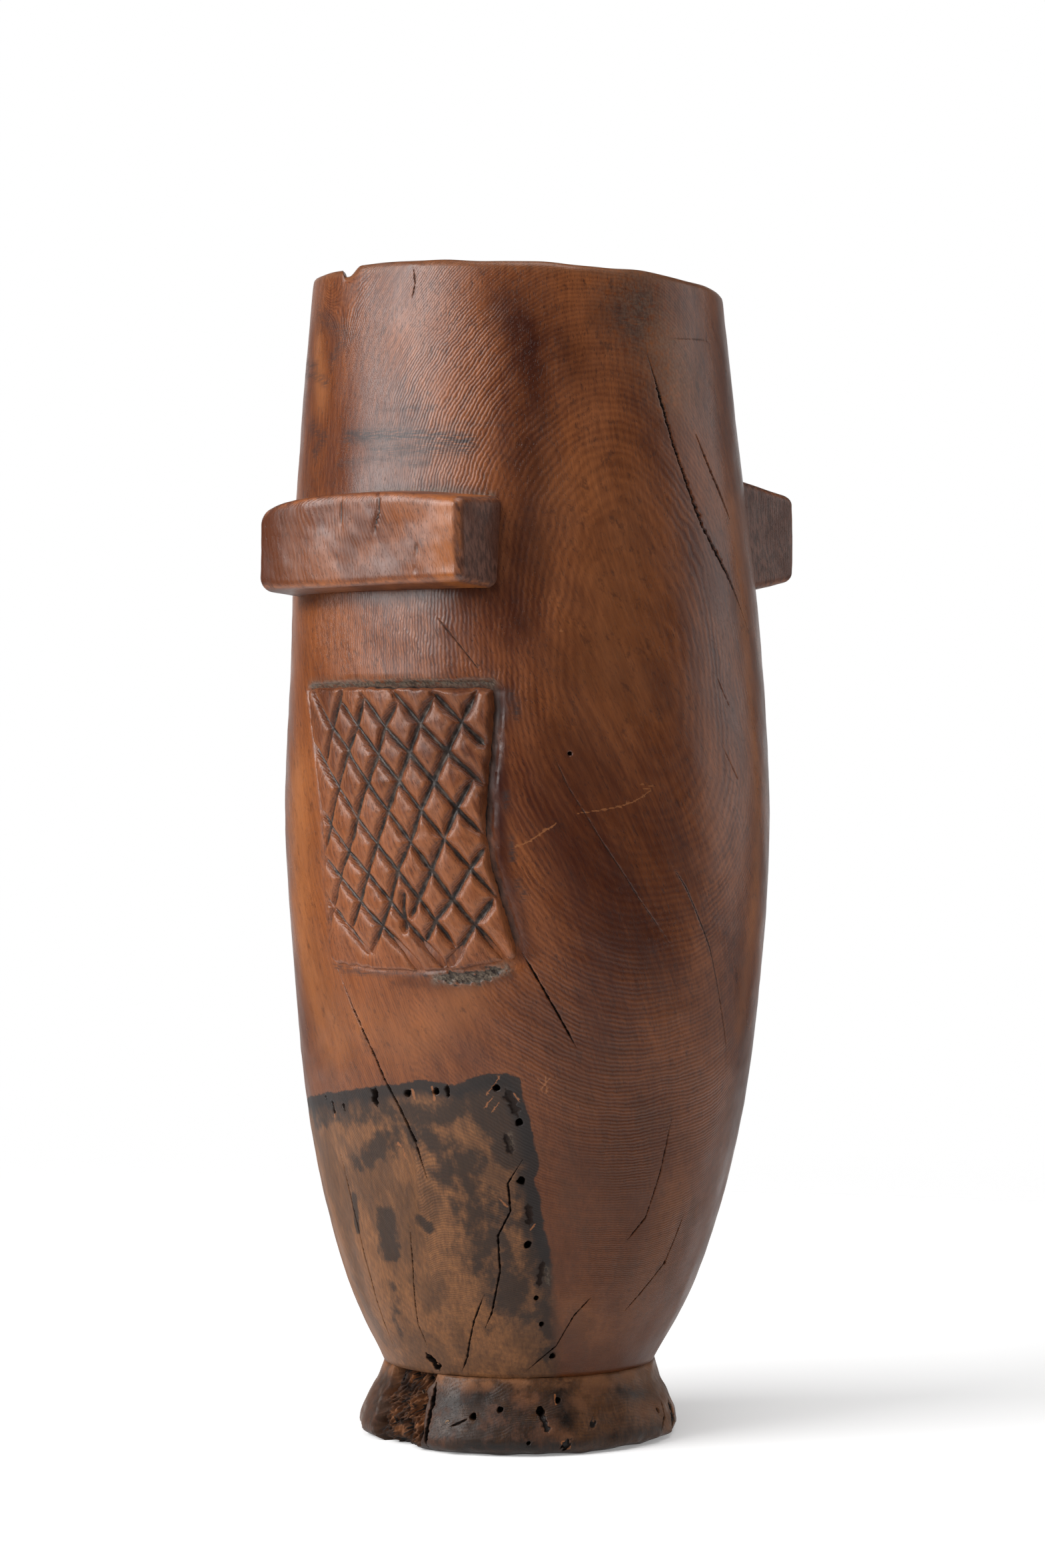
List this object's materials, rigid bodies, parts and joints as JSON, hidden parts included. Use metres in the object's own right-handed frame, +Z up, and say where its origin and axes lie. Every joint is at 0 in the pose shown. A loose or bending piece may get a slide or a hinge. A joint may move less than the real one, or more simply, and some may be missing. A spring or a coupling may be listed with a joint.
{
  "type": "wooden container",
  "caption": "Tall carved wooden milk container: egg-shaped hollow body on a flared foot, a wide lug on each side and a cross-hatched relief panel below each lug.",
  "frame": {"origin": "centre of the foot's underside, where the container stands", "axes": "+Z up along the container, the near lug points along -X and the far lug along +X"},
  "size_m": [0.2021, 0.1861, 0.4431],
  "materials": {
    "patinated_wood": "red-brown hardwood, handled to a soft gloss, with fine rippled grain, cracks and a dark stain above the foot",
    "lug_wood": "the same wood, worn lighter along the edges, with dark end grain",
    "panel_wood": "the same wood, cut with a lattice of V grooves that hold dark dirt",
    "foot_wood": "grey-brown weathered wood, blackened in places and rotted to open fibres at one notch",
    "peg_wood": "pale, dull broken peg ends"
  },
  "bodies": {
    "root": {"vessel_body": "patinated_wood", "near_lug": "lug_wood", "far_lug": "lug_wood", "near_lattice_panel": "panel_wood", "far_lattice_panel": "panel_wood", "foot": "foot_wood", "sole_peg": "peg_wood", "notch_peg": "peg_wood"}
  },
  "joints": []
}
